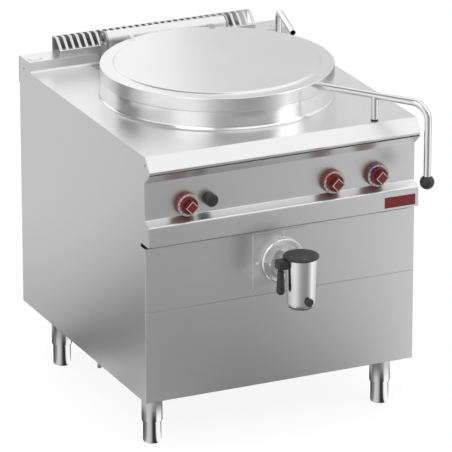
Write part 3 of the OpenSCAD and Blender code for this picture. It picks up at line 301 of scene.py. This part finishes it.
finishes = {
    "panelSteel": steel("panelSteel", panelLook), "topSteel": steel("topSteel", topLook),
    "lidSteel": steel("lidSteel", lidLook), "collarSteel": steel("collarSteel", collarLook),
    "panSteel": steel("panSteel", panLook), "polished": steel("polished", polishedLook),
    "brushed": steel("brushed", brushedLook), "grilleSteel": steel("grilleSteel", grilleLook),
    "shadedBracketSteel": steel("shadedBracketSteel", shadedBracketLook), "frameSteel": steel("frameSteel", frameLook),
    "springSteel": roughMetal("springSteel", springLook),
    "brass": roughMetal("brass", brassLook), "pipeMetal": roughMetal("pipeMetal", pipeLook),
    "burnerIron": roughMetal("burnerIron", burnerLook), "spacerPaint": roughMetal("spacerPaint", spacerLook),
    "wool": wool("wool", woolLook), "redPlastic": moulded("redPlastic", redLook),
    "badgeRed": moulded("badgeRed", badgeLook), "blackPlastic": moulded("blackPlastic", blackLook),
    "rubber": moulded("rubber", rubberLook), "ink": moulded("ink", inkLook),
    "dialGrey": moulded("dialGrey", dialLook), "paleInk": moulded("paleInk", paleLook),
    "redInk": moulded("redInk", redInkLook), "blueInk": moulded("blueInk", blueInkLook)}
print("finishes:", len(finishes))

wears = {
    "panelSteel": ["side_panel_left", "side_panel_right", "rear_panel", "fascia", "upper_front_panel",
                   "lower_front_panel", "tap_plate"],
    "topSteel": ["worktop", "upstand_plugs", "hinge_cover", "lid_arms"],
    "grilleSteel": ["flue_grille"],
    "brushed": ["tap_nut", "tap_rosette"],
    "shadedBracketSteel": ["hinge_brackets"],
    "lidSteel": ["lid_shell"],
    "collarSteel": ["collar"],
    "panSteel": ["pan_wall", "pan_floor", "lid_liner"],
    "polished": ["leg_sleeves", "foot_front_left", "foot_front_right", "foot_rear_left", "foot_rear_right",
                 "handle_tube", "handle_collar", "handle_strut", "tap_plate_studs",
                 "drain_pipe", "tap_body", "tap_plug", "spout_base", "spout_tube"],
    "frameSteel": ["base_frame", "fire_chamber", "chamber_posts", "flue_duct"],
    "springSteel": ["lid_springs", "lid_axle"],
    "brass": ["gas_valve", "water_valves"],
    "pipeMetal": ["gas_pipes", "water_pipes"],
    "burnerIron": ["burner"],
    "spacerPaint": ["rear_spacer", "outlet_ring"],
    "wool": ["insulation"],
    "redPlastic": ["gas_knob", "hot_knob", "cold_knob"],
    "badgeRed": ["badge_plate"],
    "blackPlastic": ["tap_cap", "tap_lever", "lock_screw", "handle_ball", "igniter_bush", "igniter_button"],
    "rubber": ["strut_foot"]}
for finishName, wearers in wears.items():
    for wearer in wearers:
        dressed = nodes[wearer]
        dressed.data.materials.clear()
        dressed.data.materials.append(finishes[finishName])
bare = sorted(set(nodes) - {wearer for wearers in wears.values() for wearer in wearers})
print("nodes dressed:", len(nodes) - len(bare), "bare:", bare)


# A mesh object from vertices and faces, smooth where its faces meet softly
def addMesh(name, points, faces, finish, body, creaseAngle=35):
    mesh = bpy.data.meshes.new(name)
    mesh.from_pydata(np.asarray(points).reshape(-1, 3).tolist(), [], faces)
    mesh.validate()
    mesh.shade_smooth()
    mesh.set_sharp_from_angle(angle=math.radians(creaseAngle))
    piece = bpy.data.objects.new(name, mesh)
    bpy.context.scene.collection.objects.link(piece)
    mesh.materials.append(finishes[finish])
    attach(piece, body)
    return piece


# Faces of a grid of rows by columns, wrapped round in both ways or in one
def gridFaces(rows, columns, wrapRows=True, wrapColumns=True, start=0):
    rowCount = rows if wrapRows else rows - 1
    columnCount = columns if wrapColumns else columns - 1
    row, column = np.meshgrid(np.arange(rowCount), np.arange(columnCount), indexing="ij")
    nextRow, nextColumn = (row + 1) % rows, (column + 1) % columns
    corners = [row * columns + column, nextRow * columns + column,
               nextRow * columns + nextColumn, row * columns + nextColumn]
    return (np.stack(corners, -1).reshape(-1, 4) + start).tolist()


# A closed profile of radius and reach turned about an axis that points to the front: x = cx + r sin a,
# z = cz + r cos a, y = face - reach, with a measured from the top
def turnedToFront(profile, centre, face, turns=96):
    profile = np.asarray(profile)
    angle = np.linspace(0, 2 * math.pi, turns, endpoint=False)[:, None]
    radius, reach = profile[None, :, 0], profile[None, :, 1]
    across = centre[0] + radius * np.sin(angle)
    up = centre[1] + radius * np.cos(angle)
    depth = np.broadcast_to(face - reach, across.shape)
    return np.stack([across, depth, up], -1), gridFaces(turns, profile.shape[0])


# A flat strip round part of a circle: radius between inner(a) and outer(a), a from the top and turning left
def arcStrip(centre, face, reach, start, end, inner, outer, steps):
    angle = np.radians(np.linspace(start, end, steps))[:, None]
    share = np.linspace(0, 1, steps)[:, None]
    radii = np.concatenate([inner + 0 * share, outer(share), outer(share), inner + 0 * share], 1)
    depths = np.array([0, 0, reach, reach])[None, :] + 0 * share
    across = centre[0] - radii * np.sin(angle)
    up = centre[1] + radii * np.cos(angle)
    points = np.stack([across, face - depths, up], -1)
    faces = gridFaces(steps, 4, wrapRows=False)
    last = 4 * (steps - 1)
    return points, faces + [[3, 2, 1, 0], [last, last + 1, last + 2, last + 3]]


# A closed band between two outlines, raised from a face that looks to the front
def frontBand(outer, inner, face, reach):
    rings = []
    for outline, depth in ((outer, 0.0), (outer, reach), (inner, reach), (inner, 0.0)):
        rings.append(np.stack([outline[:, 0], np.full(len(outline), face - depth), outline[:, 1]], -1))
    return np.stack(rings, 1), gridFaces(len(outer), 4)


# Knob trim: a pale dial ring on the skirt, ticks, a coloured wedge, and a pale line round the grip's face
knobTrim = {"skirtDepth": 0.017, "panelGap": 0.001, "ringInner": 0.0244, "ringOuter": 0.0311,
            "ringReach": 0.0004, "inkReach": 0.0007, "tickCount": 9, "tickStart": -10, "tickEnd": 190,
            "tickWide": 1.6, "tickInner": 0.0012, "tickOuter": 0.0010, "tickSteps": 3, "wedgeStart": -2,
            "wedgeEnd": 62, "wedgeInner": 0.0004, "wedgeThin": 0.0010, "wedgeGrowth": 0.0042,
            "wedgeRise": 1.4, "wedgeSteps": 24, "gripCorner": 0.0184, "gripLine": 0.0017,
            "lineReach": 0.0003, "lineCrease": 20}


def dressKnob(node, body, wedge):
    low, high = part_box(node)
    centre = ((low.x + high.x) / 2, (low.z + high.z) / 2)
    skirtFace = panelFace - knobTrim["panelGap"] - knobTrim["skirtDepth"]
    ringIn, ringOut, reach = knobTrim["ringInner"], knobTrim["ringOuter"], knobTrim["ringReach"]
    profile = [(ringIn, 0.0), (ringIn, reach), (ringOut, reach), (ringOut, 0.0)]
    points, faces = turnedToFront(profile, centre, skirtFace)
    addMesh(node + "_dial", points, faces, "dialGrey", body)
    ticks, tickFaces = [], []
    half, inkReach = knobTrim["tickWide"], knobTrim["inkReach"]
    for angle in np.linspace(knobTrim["tickStart"], knobTrim["tickEnd"], knobTrim["tickCount"]):
        points, faces = arcStrip(centre, skirtFace - reach, inkReach - reach, angle - half, angle + half,
                                 ringIn + knobTrim["tickInner"],
                                 lambda share: ringOut - knobTrim["tickOuter"] + 0 * share,
                                 knobTrim["tickSteps"])
        tickFaces += [[corner + points.size // 3 * len(ticks) for corner in face] for face in faces]
        ticks.append(points.reshape(-1, 3))
    addMesh(node + "_ticks", np.concatenate(ticks), tickFaces, "ink", body)
    if wedge:
        thin, growth = ringIn + knobTrim["wedgeThin"], knobTrim["wedgeGrowth"]
        points, faces = arcStrip(centre, skirtFace - reach, inkReach * knobTrim["wedgeRise"] - reach,
                                 knobTrim["wedgeStart"], knobTrim["wedgeEnd"],
                                 ringIn + knobTrim["wedgeInner"], lambda share: thin + growth * share,
                                 knobTrim["wedgeSteps"])
        addMesh(node + "_wedge", points, faces, wedge, body)
    corners = knobTrim["gripCorner"] * np.array([(0, 1), (1, 0), (0, -1), (-1, 0)]) + np.array(centre)
    inset = 1 - knobTrim["gripLine"] / knobTrim["gripCorner"]
    inner = (corners - centre) * inset + np.array(centre)
    points, faces = frontBand(corners, inner, low.y, knobTrim["lineReach"])
    addMesh(node + "_line", points, faces, "paleInk", body, knobTrim["lineCrease"])


dressKnob("gas_knob", "gas_knob_body", None)
dressKnob("hot_knob", "hot_knob_body", "redInk")
dressKnob("cold_knob", "cold_knob_body", "blueInk")
print("knobs dressed")


# Small heads turned about any axis: rings of a profile of radius and reach, closed at both ends
def turnedHeads(profile, places, facing, turns=20):
    profile, facing = np.asarray(profile), np.asarray(facing, float)
    side = np.cross(facing, (0, 0, 1) if abs(facing[2]) < 0.9 else (1, 0, 0))
    up = np.cross(side, facing)
    angle = np.linspace(0, 2 * math.pi, turns, endpoint=False)[:, None, None]
    spoke = np.cos(angle) * side + np.sin(angle) * up
    head = profile[None, :, :1] * spoke + profile[None, :, 1:] * facing
    points, faces, rows = [], [], len(profile)
    for index, place in enumerate(places):
        start = index * turns * rows
        points.append((head + np.asarray(place)).reshape(-1, 3))
        faces += gridFaces(turns, rows, wrapColumns=False, start=start)
        faces.append([start + turn * rows for turn in range(turns)][::-1])
        faces.append([start + turn * rows + rows - 1 for turn in range(turns)])
    return np.concatenate(points), faces


# Socket screws on the hinge brackets and pan-head screws round the rear panel
screwTrim = {"headRadius": 0.0042, "headHeight": 0.0028, "socketRadius": 0.002, "ringRadius": 0.0165,
             "ringAngles": (100, 220, 340), "rearInset": 0.011, "rearEnd": 0.03, "rearRows": 4, "crease": 30}
headRadius, headHeight = screwTrim["headRadius"], screwTrim["headHeight"]
socketHead = [(headRadius, 0), (headRadius, headHeight * 0.7), (headRadius * 0.86, headHeight),
              (screwTrim["socketRadius"], headHeight), (screwTrim["socketRadius"], headHeight * 0.4)]
domedHead = [(headRadius * 1.1, 0), (headRadius * 1.05, headHeight * 0.35),
             (headRadius * 0.8, headHeight * 0.7), (headRadius * 0.4, headHeight * 0.9),
             (headRadius * 0.36, headHeight * 0.55)]
axle = middle("lid_axle")
axleLow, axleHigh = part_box("lid_axle")
ringTurn = np.radians(screwTrim["ringAngles"])
for sideName, sign, faceX in (("left", -1, axleLow.x), ("right", 1, axleHigh.x)):
    spots = [(faceX, axle.y + sign * screwTrim["ringRadius"] * math.cos(turn),
              axle.z + screwTrim["ringRadius"] * math.sin(turn)) for turn in ringTurn]
    points, faces = turnedHeads(socketHead, spots, (sign, 0, 0))
    addMesh("bracket_screws_" + sideName, points, faces, "polished", "cabinet",
            screwTrim["crease"])
rearLow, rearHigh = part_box("rear_panel")
rearInset, rearEnd = screwTrim["rearInset"], screwTrim["rearEnd"]
spots = [(x, rearHigh.y, z) for x in (rearLow.x + rearInset, rearHigh.x - rearInset)
         for z in np.linspace(rearLow.z + rearEnd, rearHigh.z - rearEnd, screwTrim["rearRows"])]
points, faces = turnedHeads(domedHead, spots, (0, 1, 0))
addMesh("rear_screws", points, faces, "polished", "cabinet", screwTrim["crease"])

# Nipple under the gas pipe's end, whose tip shows below the left side
nippleTrim = {"root": -0.003, "nutRadius": 0.0098, "nutReach": 0.004, "radius": 0.0076, "reach": 0.034,
              "chamfer": 0.001, "turns": 32, "crease": 30}
mounts = {mount["name"]: mount["pos_m"] for mount in frame["record"]["mounts"]}
nutRadius, nutReach, chamfer = nippleTrim["nutRadius"], nippleTrim["nutReach"], nippleTrim["chamfer"]
nippleRadius, nippleReach = nippleTrim["radius"], nippleTrim["reach"]
nippleProfile = [(nutRadius, nippleTrim["root"]), (nutRadius, nutReach), (nippleRadius, nutReach + chamfer),
                 (nippleRadius, nippleReach - chamfer), (nippleRadius - chamfer, nippleReach)]
points, faces = turnedHeads(nippleProfile, [mounts["gas_inlet"]], (0, 0, -1), nippleTrim["turns"])
addMesh("gas_nipple", points, faces, "polished", "cabinet", nippleTrim["crease"])
print("screws and nipple set")


# Camera at the photograph's angle, measured in the part's frame
cameraPlace = {"position": (-4.9591, -10.6823, 4.7652), "ahead": (0.39555, 0.85247, -0.34183), "lens": 362.2,
               "sensor": 36.0}
cameraData = bpy.data.cameras.new("camera")
cameraData.lens = cameraPlace["lens"]
cameraData.sensor_width = cameraPlace["sensor"]
cameraData.clip_end = 100
camera = bpy.data.objects.new("camera", cameraData)
camera.location = cameraPlace["position"]
camera.rotation_euler = Vector(cameraPlace["ahead"]).to_track_quat("-Z", "Y").to_euler()
bpy.context.scene.collection.objects.link(camera)
bpy.context.scene.camera = camera

# Studio round the object, as metal sees it: screens by compass angle (east is 0.5, north 0.75) near the
# horizon, above it and overhead, painted reflections that the legs show, and a floor darkened by painted
# shade towards the object
studio = {"even": 0.85,
          "low": [(0.0, 1.0), (0.11, 1.0), (0.15, 0.75), (0.195, 0.44), (0.25, 0.31), (0.30, 0.34),
                  (0.345, 0.66), (0.375, 1.2), (0.42, 1.1), (0.49, 0.95), (0.53, 0.3), (0.62, 0.3),
                  (0.66, 0.55), (0.75, 0.66), (0.80, 0.64), (0.865, 0.70), (0.888, 0.22), (0.922, 0.22),
                  (0.94, 0.6), (0.965, 0.62), (0.99, 0.95)],
          "high": [(0.0, 0.95), (0.11, 1.0), (0.17, 0.5), (0.20, 0.35), (0.33, 0.35), (0.365, 1.0),
                   (0.48, 1.0), (0.60, 0.70), (0.74, 0.70), (0.79, 1.1), (0.85, 1.1), (0.875, 0.25),
                   (0.94, 0.25), (0.97, 0.9)],
          "top": [(0.0, 0.35), (0.17, 0.35), (0.26, 1.12), (0.80, 1.12), (0.92, 0.35)],
          "foot": -0.10, "head": 0.06, "topLow": 0.36, "topHigh": 0.66,
          # painted reflections: tones laid on the floor round each leg, for the legs to mirror
          "legs": [(0.0, 0.5), (0.06, 0.72), (0.14, 0.6), (0.205, 0.05), (0.29, 0.03), (0.325, 1.15),
                   (0.49, 1.15), (0.535, 0.12), (0.88, 0.1), (0.95, 0.25)]}
floorLook = {"radius": 9.0, "sides": 64, "matt": 0.86, "share": 0.16, "white": 0.90, "near": 0.2, "far": 1.9,
             "paintedShadeTone": 0.48, "legInner": 0.20, "legOuter": 0.32}


# Tone of the screens at the horizon, by the compass angle of a direction or of a place on the floor
def screenTone(place, stops):
    compass = place.math("ARCTAN2", place.part(1), place.part(0)) / (2 * math.pi) + 0.5
    return place.node("ShaderNodeValToRGB", {"stops": stops}, {0: compass})


angles = np.linspace(0, 2 * math.pi, floorLook["sides"], endpoint=False)
rim = np.stack([floorLook["radius"] * np.cos(angles), floorLook["radius"] * np.sin(angles), 0 * angles], -1)
floorMesh = bpy.data.meshes.new("floor")
floorMesh.from_pydata(rim.tolist(), [], [list(range(floorLook["sides"]))])
floor = bpy.data.objects.new("floor", floorMesh)
bpy.context.scene.collection.objects.link(floor)
floorMaterial = bpy.data.materials.new("floor")
floorMaterial.use_nodes = True
floorTree = floorMaterial.node_tree
floorTree.nodes.clear()
start = Wire(floorTree)
place = start.node("ShaderNodeTexCoord", output=3)
matt = start.node("ShaderNodeBsdfDiffuse", None, {0: grey(floorLook["matt"])})
dimmed = start.node("ShaderNodeBsdfDiffuse", None, {0: grey(floorLook["matt"] * floorLook["share"])})
glow = start.node("ShaderNodeEmission", None, {0: grey(1.0), 1: floorLook["white"]})
shown = start.node("ShaderNodeAddShader", None, {0: dimmed, 1: glow})
distance = place.vector("LENGTH", place, output=1)
# Painted shade: for the rays that metal reflects, the floor is darker close to the object, standing in for
# its shadow
reach = distance.rising(floorLook["near"], floorLook["far"], floorLook["paintedShadeTone"], 1.0)
# Close to a leg the floor has painted reflections, the tones that the leg shows: the place is taken from the
# nearest of the four
frontLeg, rearLeg = middle("foot_front_left"), middle("foot_rear_left")
rearHalf = start.math("GREATER_THAN", place.part(1), (frontLeg.y + rearLeg.y) / 2)
legY = rearHalf * (rearLeg.y - frontLeg.y) + frontLeg.y
legX = start.math("SIGN", place.part(0)) * -frontLeg.x
fromLeg = start.node("ShaderNodeCombineXYZ", None, {0: place.part(0) - legX, 1: place.part(1) - legY})
away = fromLeg.vector("LENGTH", fromLeg, output=1).rising(floorLook["legInner"], floorLook["legOuter"])
paintedLegReflections = screenTone(fromLeg, studio["legs"])
roomTonesWithPaintedShade = screenTone(place, studio["low"]) * reach
tones = start.node("ShaderNodeMix", {"data_type": "FLOAT"}, {0: away, 2: paintedLegReflections, 3: roomTonesWithPaintedShade})
mirrored = start.node("ShaderNodeEmission", None, {0: grey(1.0), 1: tones})
cameraRay = start.node("ShaderNodeLightPath", output=0)
glossyRay = start.node("ShaderNodeLightPath", output=3)
surface = start.node("ShaderNodeMixShader", None, {0: cameraRay, 1: matt, 2: shown})
surface = start.node("ShaderNodeMixShader", None, {0: glossyRay, 1: surface, 2: mirrored})
floorOutput = floorTree.nodes.new("ShaderNodeOutputMaterial")
floorTree.links.new(surface.socket, floorOutput.inputs[0])
floorMesh.materials.append(floorMaterial)

world = bpy.data.worlds.new("studio")
bpy.context.scene.world = world
world.use_nodes = True
worldTree = world.node_tree
worldTree.nodes.clear()
start = Wire(worldTree)
way = start.node("ShaderNodeTexCoord", output=0)
rise = way.part(2).rising(studio["foot"], studio["head"])
screens = rise.blend(screenTone(way, studio["low"]), screenTone(way, studio["high"]))
overhead = way.part(2).rising(studio["topLow"], studio["topHigh"])
screens = overhead.blend(screens, screenTone(way, studio["top"]))
cameraRay = start.node("ShaderNodeLightPath", output=0)
glossyRay = start.node("ShaderNodeLightPath", output=3)
even = glossyRay.blend(grey(studio["even"]), screens)
background = start.node("ShaderNodeBackground", None, {0: cameraRay.blend(even, grey(1.0)), 1: 1.0})
worldOutput = worldTree.nodes.new("ShaderNodeOutputWorld")
worldTree.links.new(background.socket, worldOutput.inputs[0])

# Soft lamps: a large one above on the left, a weaker one on the right, and a low one behind for the lid, all
# turned to the cabinet's middle
lampAim = Vector((0, 0, 0.6))
lamps = {"keyLamp": {"at": (-2.6, -2.2, 3.6), "size": 2.4, "power": 26.0},
         "fillLamp": {"at": (3.0, -2.6, 2.2), "size": 2.0, "power": 12.0},
         "backLamp": {"at": (0.25, 2.4, 1.9), "size": 1.4, "power": 2.3}}
for lampName, lamp in lamps.items():
    lampData = bpy.data.lights.new(lampName, "AREA")
    lampData.energy = lamp["power"]
    lampData.size = lamp["size"]
    lampObject = bpy.data.objects.new(lampName, lampData)
    lampObject.location = lamp["at"]
    lampObject.rotation_euler = (lampAim - Vector(lamp["at"])).to_track_quat("-Z", "Y").to_euler()
    bpy.context.scene.collection.objects.link(lampObject)
bpy.context.scene.view_settings.view_transform = "Standard"
print("studio ready")
